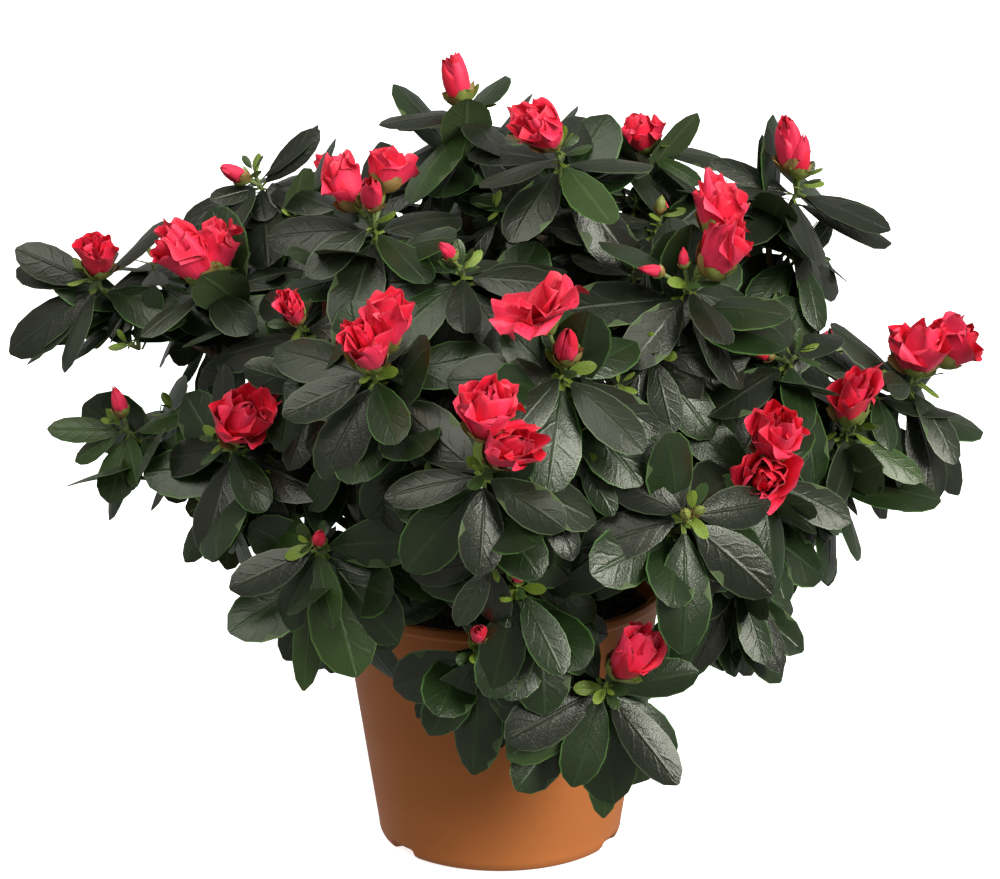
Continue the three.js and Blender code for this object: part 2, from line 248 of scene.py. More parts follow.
# Each layer of a flower: petals, length and width as shares of the flower's length, the lean away from the
# axis at the foot, half way and at the margin in degrees, and the depth of the folds as another share.
FLOWERS = {
    "green_bud": [(3, 1.0, 0.75, 50, 4, -52, 0.0), (3, 0.94, 0.6, 40, 0, -40, 0.0)],
    "bud": [(3, 0.98, 0.9, 54, 4, -34, 0.02), (3, 1.0, 0.7, 42, 2, -28, 0.03)],
    "fat_bud": [
        (3, 0.92, 0.95, 62, 8, -14, 0.06),
        (3, 1.0, 0.8, 48, 2, -10, 0.08),
        (2, 0.98, 0.5, 28, 0, -4, 0.08),
    ],
    "rolled": [
        (3, 0.82, 0.95, 54, 4, 6, 0.04),
        (3, 1.0, 0.8, 42, 2, 10, 0.06),
        (2, 0.97, 0.6, 24, 0, 8, 0.07),
    ],
    "half_open": [
        (3, 0.84, 1.15, 74, 14, 20, 0.09),
        (4, 0.96, 1.05, 64, 8, 2, 0.11),
        (3, 1.0, 0.9, 48, 0, -4, 0.13),
        (2, 0.95, 0.7, 30, -4, -2, 0.12),
    ],
    "double": [
        (4, 0.84, 1.2, 84, 26, 34, 0.07),
        (4, 0.9, 1.1, 74, 16, 0, 0.1),
        (4, 0.92, 1.0, 60, 6, -28, 0.12),
        (3, 0.9, 0.85, 42, 0, -34, 0.13),
        (2, 0.86, 0.6, 24, -6, -16, 0.1),
    ],
    "open": [
        (5, 1.0, 1.05, 34, 46, 88, 0.1),
        (3, 0.9, 0.9, 24, 30, 56, 0.12),
        (2, 0.75, 0.6, 16, 12, 30, 0.1),
    ],
}
# The scales under a flower: their length and width as shares of its length, how far outside the petals they
# start, and by how many degrees they lean less than the outer petals.
CALYX = {"scales": 5, "length": 0.42, "width": 0.44, "gap": 0.05, "hug": 2, "fold": 0.02}


# ---- vectors and meshes ----


def unit(vectors):
    """Each vector divided by its length."""
    vectors = np.asarray(vectors, float)
    return vectors / np.linalg.norm(vectors, axis=-1, keepdims=True)


def across_and_along(axis):
    """Two unit vectors square to the axis and to each other."""
    helper = UP if abs(axis[2]) < 0.9 else np.array([1.0, 0.0, 0.0])
    first = unit(np.cross(helper, axis))
    return first, np.cross(axis, first)


def smooth(low, high, value):
    """The smooth step 3t^2 - 2t^3, where t runs from 0 at low to 1 at high."""
    t = np.clip((np.asarray(value, float) - low) / (high - low), 0, 1)
    return t * t * (3 - 2 * t)


def pillow_faces(rows, columns):
    """The faces of a thin closed blade over a grid of rows by columns of quads. Its front is the whole grid,
    its back a second layer of the inner points, and the two share the points of the rim."""
    front = np.arange((rows + 1) * (columns + 1)).reshape(rows + 1, columns + 1)
    back = front.copy()
    back[1:-1, 1:-1] = front.size + np.arange((rows - 1) * (columns - 1)).reshape(rows - 1, columns - 1)

    def quads(grid):
        return np.stack([grid[:-1, :-1], grid[1:, :-1], grid[1:, 1:], grid[:-1, 1:]], -1).reshape(-1, 4)

    return np.concatenate([quads(front), quads(back)[:, ::-1]])


def pillow_rim(rows, columns):
    """Which of a pillow's points lie on its rim."""
    rim = np.ones((rows + 1, columns + 1), bool)
    rim[1:-1, 1:-1] = False
    return np.concatenate([rim.ravel(), np.zeros((rows - 1) * (columns - 1), bool)])


def pillow_points(front, back):
    """The front's points (copies, rows + 1, columns + 1, 3), then the back's inner ones: one row per copy."""
    copies = len(front)
    return np.concatenate([front.reshape(copies, -1, 3), back[:, 1:-1, 1:-1].reshape(copies, -1, 3)], 1)


def pillow_uv(rows, columns):
    """The UV of a pillow's points, from the way along at each row (0 to 1) and across at each column (-1
    to 1)."""
    grid = np.stack(np.meshgrid(rows, (columns + 1) / 2, indexing="ij"), -1)
    return np.concatenate([grid.reshape(-1, 2), grid[1:-1, 1:-1].reshape(-1, 2)])


def circle(sides):
    """The angles of that many points round a circle, from 0."""
    return np.linspace(0, 2 * math.pi, sides + 1)[:-1]


def ring_faces(rings, sides):
    """Quads that join each closed ring of points to the next."""
    grid = np.arange(rings * sides).reshape(rings, sides)
    following = np.roll(grid, -1, axis=1)
    return np.stack([grid[:-1], following[:-1], following[1:], grid[1:]], -1).reshape(-1, 4)


def ring_uv(rings, around):
    """The UV of rings of points: the way along, 0 to 1, and what around gives for each point of a ring."""
    return np.stack(np.meshgrid(np.linspace(0, 1, rings), around, indexing="ij"), -1).reshape(-1, 2)


class Piece:
    """Gathers many copies of small shapes into one mesh, with a UV map and a finish for each face."""

    def __init__(self):
        self.points, self.faces, self.finishes, self.uvs, self.rims = [], [], [], [], []
        self.count = 0

    def add(self, points, faces, uv, finishes, rim=None):
        """Takes points (copies, n, 3), faces (m, 4), uv (n, 2), finishes (copies, m) or one number, and rim
        (n,), which is true where a point lies on a sharp edge."""
        copies, size = points.shape[:2]
        self.rims.append(np.tile(np.zeros(size, bool) if rim is None else rim, copies))
        starts = self.count + size * np.arange(copies)
        all_faces = (faces[None] + starts[:, None, None]).reshape(-1, 4)
        self.points.append(points.reshape(-1, 3))
        self.faces.append(all_faces)
        self.uvs.append(np.tile(uv[faces.reshape(-1)], (copies, 1)))
        self.finishes.append(np.broadcast_to(finishes, (copies, len(faces))).reshape(-1))
        self.count += copies * size

    def build(self, name, materials, replaces=(), slot=None):
        """Makes the object, smooth-shaded but for its sharp edges, riding on the plant's one body."""
        points, faces = np.concatenate(self.points), np.concatenate(self.faces)
        mesh = bpy.data.meshes.new(name)
        mesh.vertices.add(len(points))
        mesh.vertices.foreach_set("co", points.astype(np.float32).ravel())
        mesh.loops.add(faces.size)
        mesh.loops.foreach_set("vertex_index", faces.astype(np.int32).ravel())
        mesh.polygons.add(len(faces))
        mesh.polygons.foreach_set("loop_start", np.arange(0, faces.size, 4, dtype=np.int32))
        mesh.polygons.foreach_set("material_index", np.concatenate(self.finishes).astype(np.int32))
        mesh.polygons.foreach_set("use_smooth", np.ones(len(faces), bool))
        layer = mesh.uv_layers.new(name="surface")
        layer.uv.foreach_set("vector", np.concatenate(self.uvs).astype(np.float32).ravel())
        for material in materials:
            mesh.materials.append(material)
        mesh.update(calc_edges=True)
        ends = np.zeros(2 * len(mesh.edges), np.int32)
        mesh.edges.foreach_get("vertices", ends)
        sharp = np.concatenate(self.rims)[ends.reshape(-1, 2)].all(1)
        mesh.attributes.new("sharp_edge", "BOOLEAN", "EDGE").data.foreach_set("value", sharp)
        mesh.validate()
        piece = bpy.data.objects.new(name, mesh)
        bpy.context.scene.collection.objects.link(piece)
        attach(piece, "root")
        if replaces:
            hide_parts(*replaces)
        return piece


# ---- finishes ----


class Finish:
    """A material being made: its shader, and short ways to add and join nodes. A pattern's scale is about the
    number of its features in a metre."""

    def __init__(self, name, colour, roughness):
        self.material = bpy.data.materials.new(name)
        self.material.use_nodes = True
        self.nodes = self.material.node_tree.nodes
        self.links = self.material.node_tree.links
        self.shader = self.nodes["Principled BSDF"]
        self.shader.inputs["Base Color"].default_value = (*colour, 1)
        self.shader.inputs["Roughness"].default_value = roughness

    def set(self, **sockets):
        for socket, value in sockets.items():
            self.shader.inputs[socket.replace("_", " ")].default_value = value

    def node(self, kind, inputs=(), **settings):
        node = self.nodes.new(kind)
        for key, value in settings.items():
            setattr(node, key, value)
        for key, value in dict(inputs).items():
            if isinstance(value, bpy.types.NodeSocket):
                self.links.new(value, node.inputs[key])
            else:
                node.inputs[key].default_value = value
        return node

    def maths(self, operation, *values):
        return self.node("ShaderNodeMath", dict(enumerate(values)), operation=operation).outputs[0]

    def step(self, value, low, high):
        node = self.node("ShaderNodeMapRange", {"Value": value}, interpolation_type="SMOOTHSTEP")
        node.inputs["From Min"].default_value = low
        node.inputs["From Max"].default_value = high
        return node.outputs["Result"]

    def mix(self, share, first, second):
        node = self.node("ShaderNodeMix", {"Factor": share}, data_type="RGBA")
        for socket, colour in ((node.inputs[6], first), (node.inputs[7], second)):
            if isinstance(colour, bpy.types.NodeSocket):
                self.links.new(colour, socket)
            else:
                socket.default_value = (*colour, 1)
        return node.outputs[2]

    def noise(self, scale, detail=3.0, stretch=(1, 1, 1)):
        place = self.node("ShaderNodeTexCoord").outputs["Object"]
        placed = self.node("ShaderNodeMapping", {"Vector": place, "Scale": stretch}).outputs[0]
        inputs = {"Vector": placed, "Scale": scale, "Detail": detail}
        return self.node("ShaderNodeTexNoise", inputs).outputs[0]

    def surface_place(self):
        """The UV map's two numbers: along and across."""
        place = self.node("ShaderNodeUVMap", uv_map="surface").outputs[0]
        split = self.node("ShaderNodeSeparateXYZ", {"Vector": place})
        return split.outputs["X"], split.outputs["Y"]

    def colour(self, socket):
        self.links.new(socket, self.shader.inputs["Base Color"])

    def rough(self, socket):
        self.links.new(socket, self.shader.inputs["Roughness"])

    def bump(self, *layers):
        """Each layer is a height, a strength and the depth in metres that a height of 1 stands for."""
        normal = None
        for height, strength, depth in layers:
            inputs = {"Height": height, "Strength": strength, "Distance": depth}
            if normal is not None:
                inputs["Normal"] = normal
            normal = self.node("ShaderNodeBump", inputs).outputs[0]
        self.links.new(normal, self.shader.inputs["Normal"])


def tinted(colour, share):
    """The colour times a share, with no value over 1."""
    return tuple(min(1.0, value * share) for value in colour)


# Where a leaf's lines lie, across it from 0 on the midrib to 1 at the rim, and how deep they are sunk.
VEINS = {
    "beats": 6.0,  # side veins on each side
    "lean": 1.6,  # how far a side vein runs on towards the tip, in beats
    "wander": 0.9,
    "half_width": 0.2,
    "midrib": 0.13,
    "side_depth": 0.3,
    "net_depth": 0.08,
    "depth": 0.42 * MM,
}
LEAF_RIM_FROM = 0.91
LEAF_SHEEN = {"Sheen_Roughness": 0.35, "Sheen_Tint": (0.95, 0.95, 0.7, 1)}
LEAF_GLOSS = {"Specular_IOR_Level": 0.5, "Specular_Tint": (1, 1, 0.86, 1)}


def leaf_finish(name, colour, roughness=0.5, rim=0.7, vein=0.35, sheen=0.07):
    """A leaf's face, with sunk veins. A side vein lies where the number of beats times the way along, less a
    lean that grows towards the rim, is half way between two whole numbers. A fine net joins the veins."""
    finish = Finish(name, colour, roughness)
    maths = finish.maths
    along, across = finish.surface_place()
    from_midrib = maths("ABSOLUTE", maths("MULTIPLY_ADD", across, 2.0, -1.0))
    wander = maths("MULTIPLY", finish.noise(130, 1.0), VEINS["wander"])
    lean = maths("MULTIPLY_ADD", maths("POWER", from_midrib, 0.8), VEINS["lean"], wander)
    beat = maths("FRACT", maths("SUBTRACT", maths("MULTIPLY", along, VEINS["beats"]), lean))
    from_side_vein = maths("ABSOLUTE", maths("SUBTRACT", beat, 0.5))
    fade = finish.step(from_midrib, 0.98, 0.6)
    side_vein = maths("MULTIPLY", finish.step(from_side_vein, VEINS["half_width"], 0.0), fade)
    midrib = finish.step(from_midrib, VEINS["midrib"], 0.0)
    place = finish.node("ShaderNodeTexCoord").outputs["Object"]
    cells = finish.node("ShaderNodeTexVoronoi", {"Vector": place, "Scale": 420}, feature="DISTANCE_TO_EDGE")
    net = maths("MULTIPLY", finish.step(cells.outputs["Distance"], 0.2, 0.0), VEINS["net_depth"])
    side_veins = maths("MAXIMUM", maths("MULTIPLY", side_vein, VEINS["side_depth"]), net)
    veins = maths("MAXIMUM", midrib, side_veins)
    patches = finish.noise(95, 2.0)
    base = finish.mix(patches, tinted(colour, 0.7), tinted(colour, 1.3))
    lined = finish.mix(maths("MULTIPLY", midrib, vein), base, tinted(colour, 2.4))
    edge = maths("MULTIPLY", finish.step(from_midrib, LEAF_RIM_FROM, 1.0), rim)
    finish.colour(finish.mix(edge, lined, tinted(colour, 9.0)))
    spread = {"Value": patches, "To Min": roughness - 0.08, "To Max": roughness + 0.1}
    finish.rough(finish.node("ShaderNodeMapRange", spread).outputs[0])
    sunk = (maths("SUBTRACT", 1.0, veins), 0.6, VEINS["depth"])
    pores = (finish.noise(1400, 3.0), 0.5, 0.2 * MM)
    finish.bump(sunk, pores)
    finish.set(Sheen_Weight=sheen, **LEAF_SHEEN)
    finish.set(**LEAF_GLOSS)
    return finish.material


# The painted highlight along a petal's margin: its pale rose colour, and the share of the way along or across
# from which it starts.
PETAL_MARGIN_HIGHLIGHT, PETAL_HIGHLIGHT_FROM = (0.95, 0.12, 0.17), 0.93
PETAL_SHEEN = {"Sheen_Weight": 0.12, "Sheen_Roughness": 0.4, "Sheen_Tint": (1, 0.6, 0.65, 1)}


def petal_finish(name, foot, body, roughness=0.48):
    """A petal: paler at its foot, with fine streaks that run along it, and a painted highlight of pale rose
    along its thin margin.
    """
    finish = Finish(name, body, roughness)
    along, across = finish.surface_place()
    stretched = {"X": finish.maths("MULTIPLY", along, 1.5), "Y": finish.maths("MULTIPLY", across, 16.0)}
    place = finish.node("ShaderNodeCombineXYZ", stretched).outputs[0]
    streaks = finish.node("ShaderNodeTexNoise", {"Vector": place, "Scale": 1.6, "Detail": 2.0}).outputs[0]
    grown = finish.mix(finish.step(along, 0.05, 0.55), foot, body)
    patch = finish.maths("MULTIPLY", finish.step(finish.noise(140, 1.0), 0.35, 0.7), 0.35)
    varied = finish.mix(patch, grown, tinted(body, 0.72))
    streak = finish.maths("MULTIPLY", finish.step(streaks, 0.4, 0.75), 0.25)
    streaked = finish.mix(streak, varied, tinted(body, 1.12))
    # A painted highlight: near the end and the sides of the petal, the colour is mixed towards pale rose.
    from_middle = finish.maths("ABSOLUTE", finish.maths("MULTIPLY_ADD", across, 2.0, -1.0))
    end = finish.step(along, PETAL_HIGHLIGHT_FROM, 1.0)
    edge = finish.maths("MAXIMUM", end, finish.step(from_middle, PETAL_HIGHLIGHT_FROM, 1.0))
    finish.colour(finish.mix(finish.maths("MULTIPLY", edge, 0.3), streaked, PETAL_MARGIN_HIGHLIGHT))
    finish.bump((streaks, 0.6, 0.6 * MM))
    finish.set(**PETAL_SHEEN, Specular_IOR_Level=0.3)
    return finish.material


def stem_finish(name, colour, roughness=0.6):
    """A young stem: smooth, with a slight change of tint along it."""
    finish = Finish(name, colour, roughness)
    patches = finish.noise(160, 3.0)
    finish.colour(finish.mix(patches, tinted(colour, 0.65), tinted(colour, 1.35)))
    finish.bump((finish.noise(1400, 2.0), 0.4, 0.2 * MM))
    return finish.material


def bark_finish(name, colour):
    """Old bark: grey-brown, with long cracks up the limb."""
    finish = Finish(name, colour, 0.85)
    cracks = finish.noise(420, 5.0, (1, 1, 0.3))
    finish.colour(finish.mix(finish.step(cracks, 0.35, 0.7), tinted(colour, 0.45), tinted(colour, 1.6)))
    finish.bump((cracks, 0.8, 0.8 * MM), (finish.noise(2200, 2.0), 0.4, 0.2 * MM))
    return finish.material


def pot_finish():
    """Terracotta-coloured satin plastic: a fine moulded grain, faint bands round it and a few dull rubs."""
    colour = (0.47, 0.150, 0.041)
    finish = Finish("terracotta_plastic", colour, 0.4)
    bands = finish.noise(22, 3.0, (0.4, 0.4, 2.2))
    rubs = finish.noise(60, 4.0)
    finish.colour(finish.mix(bands, tinted(colour, 0.9), tinted(colour, 1.12)))
    dullness = {"Value": rubs, "To Min": 0.33, "To Max": 0.52}
    finish.rough(finish.node("ShaderNodeMapRange", dullness).outputs[0])
    finish.bump((finish.noise(2600, 2.0), 0.15, 0.1 * MM), (finish.noise(35, 2.0), 0.2, 0.6 * MM))
    finish.set(Specular_IOR_Level=0.2, Specular_Tint=(1, 0.8, 0.6, 1))
    return finish.material


def peat_finish():
    """Moist peat: near black, with brown fibres and a few paler crumbs."""
    finish = Finish("moist_peat", (0.03, 0.018, 0.012), 0.92)
    fibres = finish.noise(650, 5.0)
    crumbs = finish.noise(1500, 2.0)
    body = finish.mix(finish.step(fibres, 0.35, 0.7), (0.012, 0.007, 0.005), (0.06, 0.034, 0.02))
    finish.colour(finish.mix(finish.step(crumbs, 0.66, 0.72), body, (0.16, 0.10, 0.06)))
    finish.bump((fibres, 0.9, 1.2 * MM), (crumbs, 0.6, 0.5 * MM))
    return finish.material


LEAF_FINISHES = [
    leaf_finish("leaf_charcoal", (0.008, 0.011, 0.005), 0.32),
    leaf_finish("leaf_dark_green", (0.010, 0.023, 0.005), 0.32),
    leaf_finish("leaf_grey_green", (0.014, 0.020, 0.009), 0.36),
    leaf_finish("leaf_fresh_green", (0.025, 0.052, 0.010), 0.34, 0.25),
    leaf_finish("leaf_young", (0.14, 0.21, 0.02), 0.42, 0.1, 0.25),
    leaf_finish("leaf_underside", (0.05, 0.08, 0.025), 0.6, 0.1, 0.4, 0.05),
]
CHARCOAL, DARK_GREEN, GREY_GREEN, FRESH, YOUNG, UNDERSIDE = range(6)

FLOWER_FINISHES = [
    petal_finish("petal_scarlet", (0.76, 0.04, 0.095), (0.80, 0.015, 0.046)),
    petal_finish("petal_crimson", (0.64, 0.022, 0.07), (0.66, 0.009, 0.034)),
    petal_finish("petal_rose_back", (0.82, 0.09, 0.18), (0.84, 0.03, 0.085)),
    stem_finish("bud_scale_green", (0.21, 0.24, 0.05), 0.5),
    stem_finish("bud_scale_brown", (0.27, 0.17, 0.05), 0.55),
    stem_finish("flower_stalk", (0.16, 0.22, 0.06)),
]
SCARLET, CRIMSON, ROSE, SCALE_GREEN, SCALE_BROWN, STALK_GREEN = range(6)

TWIG_FINISHES = [
    bark_finish("twig_bark", (0.13, 0.085, 0.045)),
    stem_finish("green_shoot", (0.12, 0.15, 0.04)),
]
OLD, GREEN = range(2)


# ---- leaves ----

# The shares of the length at which a leaf has its points: closer together towards the foot and the tip.
LEAF_STEPS = np.array([0, 0.1, 0.26, 0.45, 0.64, 0.81, 0.93, 1])
LEAF_ROWS, LEAF_COLUMNS = len(LEAF_STEPS) - 1, 4
BLADE_FOOT, BLADE_TIP, BLADE_WIDEST = 0.8, 0.56, 0.398  # the powers at both ends, and the most that they give
PETIOLE_WIDTH = 0.045  # half of it, as a share of the leaf's width
LEAF_RIPPLE = 0.05  # as a share of half the width


def blade_width(share):
    """Half the width of a blade, as a share of its widest: a taper from the foot, widest at about 0.6 of the
    length, and a round shoulder that ends in a blunt point. It is a power of the way from the foot times a
    power of the way to the tip."""
    return np.clip(share, 0, 1) ** BLADE_FOOT * np.clip(1 - share, 0, 1) ** BLADE_TIP / BLADE_WIDEST


def grow_leaves(piece, leaves):
    """Adds all the leaves of a list of rows: foot, direction, face normal, length, width, bend, cup, twist
    and tint.

    Along the leaf the midrib is an arc that turns down by the bend. Across it the blade sinks by cup times
    the square of the way to the rim, with a slight ripple towards the rim, and it turns about the midrib by
    the twist towards its tip. The back layer lies the blade's thickness under the front."""
    foot, along, face, length, width, bend, cup, twist, tint = (np.array(column) for column in zip(*leaves))
    side = np.cross(along, face)
    u = LEAF_STEPS
    v = np.linspace(-1, 1, LEAF_COLUMNS + 1)
    across = v[None, None]
    petiole = LEAF["petiole"] / LEAF["length"]
    blade = (u[None] - petiole) / (1 - petiole)
    half = np.maximum(0.5 * width[:, None] * blade_width(blade), PETIOLE_WIDTH * width[:, None])
    turn = bend[:, None] * u[None]
    safe_bend = np.where(np.abs(bend) < 1e-3, 1e-3, bend)[:, None]
    run = length[:, None] * np.sin(safe_bend * u[None]) / safe_bend
    drop = -length[:, None] * (1 - np.cos(safe_bend * u[None])) / safe_bend
    roll = twist[:, None, None] * u[None, :, None]
    offset = across * half[:, :, None]
    sink = -cup[:, None, None] * across**2 * half[:, :, None]
    beat = np.sin(9 * u[None, :, None] + 40 * cup[:, None, None])
    dip = sink + LEAF_RIPPLE * half[:, :, None] * beat * np.abs(across)
    sideways = offset * np.cos(roll) - dip * np.sin(roll)
    height = offset * np.sin(roll) + dip * np.cos(roll)
    forward = run[:, :, None] + height * np.sin(turn)[:, :, None]
    upward = drop[:, :, None] + height * np.cos(turn)[:, :, None]

    def placed(lift):
        spot = forward[..., None] * along[:, None, None] + sideways[..., None] * side[:, None, None]
        spot = spot + (upward + lift)[..., None] * face[:, None, None]
        return foot[:, None, None] + spot

    thickness = LEAF["thickness"] * (1 - 0.6 * across**2) * np.ones_like(upward)
    front, back = placed(0.0), placed(-thickness)
    faces = pillow_faces(LEAF_ROWS, LEAF_COLUMNS)
    under = len(faces) // 2
    finishes = np.repeat(tint[:, None], len(faces), 1)
    finishes[:, under:] = np.where(tint[:, None] == YOUNG, YOUNG, UNDERSIDE)
    finishes[:, :LEAF_COLUMNS] = YOUNG  # the petiole
    rim = pillow_rim(LEAF_ROWS, LEAF_COLUMNS)
    piece.add(pillow_points(front, back), faces, pillow_uv(u, v), finishes, rim)


def clear_leaves(rows, places):
    """The leaves of which no part of the midrib lies inside an open place: a capsule round a segment. The
    midrib is taken at three places along it, and sinks by 0.4 times the bend and the square of the way."""
    foot, along, length, bend = (np.array([row[i] for row in rows]) for i in (0, 1, 3, 5))
    keep = np.ones(len(rows), bool)
    for start, end, radius in places:
        for share in (0.35, 0.65, 1.0):
            spot = foot + share * length[:, None] * along - (0.4 * bend * share**2 * length)[:, None] * UP
            t = np.clip((spot - start) @ (end - start) / (end - start).dot(end - start), 0, 1)
            keep &= np.linalg.norm(spot - start - t[:, None] * (end - start), axis=1) > radius
    return [row for row, kept in zip(rows, keep) if kept]


def changed(rule, share):
    """The value that a rule (start, change, power) gives at a share of the way."""
    start, change, power = rule
    return start + change * share**power


def whorl(centre, axis, size, plan, hang, greenness, rng):
    """The leaves of one shoot tip, oldest and lowest first, each a golden angle round from the last. They
    rise from level at the foot to near the axis at the tip. The old ones are longer and hang down more."""
    first, second = across_and_along(axis)
    count = plan["leaves"]
    start = rng.uniform(0, 2 * math.pi)
    rows = []
    for i in range(count):
        share = i / (count - 1)
        young = i >= count - plan["young"]
        youth = (i - count + plan["young"]) / plan["young"]  # from 0 at the first young leaf to 1
        rise = changed(YOUNG_RISE, youth) if young else changed(OLD_RISE, share)
        rise = (rise + rng.normal(0, SPREAD["rise"])) * DEGREE
        angle = start + i * GOLDEN_ANGLE
        out = math.cos(angle) * first + math.sin(angle) * second
        along = unit(math.cos(rise) * out + math.sin(rise) * axis - hang * (1 - share) * UP)
        face = unit(axis - axis.dot(along) * along)
        tilt = rng.normal(0, SPREAD["tilt"]) * DEGREE
        face = math.cos(tilt) * face + math.sin(tilt) * np.cross(along, face)
        reach = changed(YOUNG_REACH, youth) if young else changed(OLD_REACH, share)
        length = size * LEAF["length"] * reach * rng.uniform(*SPREAD["length"])
        slimness = changed(WHORL_WIDTH, share) * rng.uniform(*SPREAD["width"])
        width = length * (LEAF["width"] / LEAF["length"]) * slimness
        bend = changed(WHORL_BEND, share) + rng.normal(0, SPREAD["bend"])
        if young:
            tint = YOUNG if rng.random() < CHANCE["light"] else FRESH
        elif share > CHANCE["late_from"] and rng.random() < CHANCE["late"]:
            tint = FRESH
        elif rng.random() < greenness:
            fresh = CHANCE["fresh"] + max(0.0, greenness - 1)
            tint = FRESH if rng.random() < fresh else DARK_GREEN
        else:
            tint = CHARCOAL if rng.random() < CHANCE["charcoal"] else GREY_GREEN
        foot = centre + axis * plan["stem"] * (share - 0.6)
        cup, twist = rng.uniform(*SPREAD["cup"]), rng.normal(0, SPREAD["twist"])
        rows.append((foot, along, face, length, width, bend, cup, twist, tint))
    return rows


# ---- flowers ----

# Rows and columns of quads in each kind of patch: a petal that opens, a petal shut in a bud, and a bud scale.
PETAL_GRID, BUD_GRID, SCALE_GRID = (8, 16), (6, 10), (4, 6)
PETAL_THICKNESS = 0.35 * MM

# A petal's shape. Lengths are shares of the flower's length and angles are radians.
PETAL = {
    "round": 0.16,  # how much shorter the petal is at its sides, for each unit of its width
    "crimp": 0.03,
    "corner_lean": 0.35,
    "skew": 0.05,
    "gap": 0.04,  # the radius at its foot
    "foot_width": 0.3,
    "narrowing": 0.5,
    "bud_narrowing": 0.66,
    "fine_fold": 0.3,
    "fine_beat": 2.1,
    "layer_turn": 0.7,
}
# How much petals differ, as in SPREAD.
PETAL_SPREAD = {"turn": 0.18, "length": (0.86, 1.04), "wander": 0.2, "bud_wander": 0.02, "beats": (1.0, 1.9)}
FLOWER_SPREAD = {"squash": (0.8, 1.0), "tilt": 0.12}
# Chances: a calyx scale is brown, a petal's face is crimson, and its back is rose in the outer layer or
# further in.
COLOUR_CHANCE = {"brown": 0.5, "crimson": 0.35, "outer_rose": 0.8, "inner_rose": 0.3}


def through(first, middle, last, u):
    """The quadratic in u that takes the three values at 0, 0.5 and 1."""
    return first * (1 - u) * (1 - 2 * u) + 4 * middle * u * (1 - u) + last * u * (2 * u - 1)


def petal_finishes(kind, layer, is_calyx, count, half_faces, rng):
    """The finish of each face: a petal is scarlet or crimson inside, and most outer ones have a rose back."""
    finishes = np.full((count, 2 * half_faces), SCARLET)
    if kind == "green_bud":
        finishes[:] = SCALE_GREEN if layer == 0 else SCALE_BROWN
    elif is_calyx:
        finishes[:] = np.where(rng.random(count) < COLOUR_CHANCE["brown"], SCALE_BROWN, SCALE_GREEN)[:, None]
    else:
        rose = COLOUR_CHANCE["outer_rose" if layer == 0 else "inner_rose"]
        crimson = COLOUR_CHANCE["crimson"]
        finishes[:, :half_faces] = np.where(rng.random(count) < crimson, CRIMSON, SCARLET)[:, None]
        finishes[:, half_faces:] = np.where(rng.random(count) < rose, ROSE, SCARLET)[:, None]
    return finishes


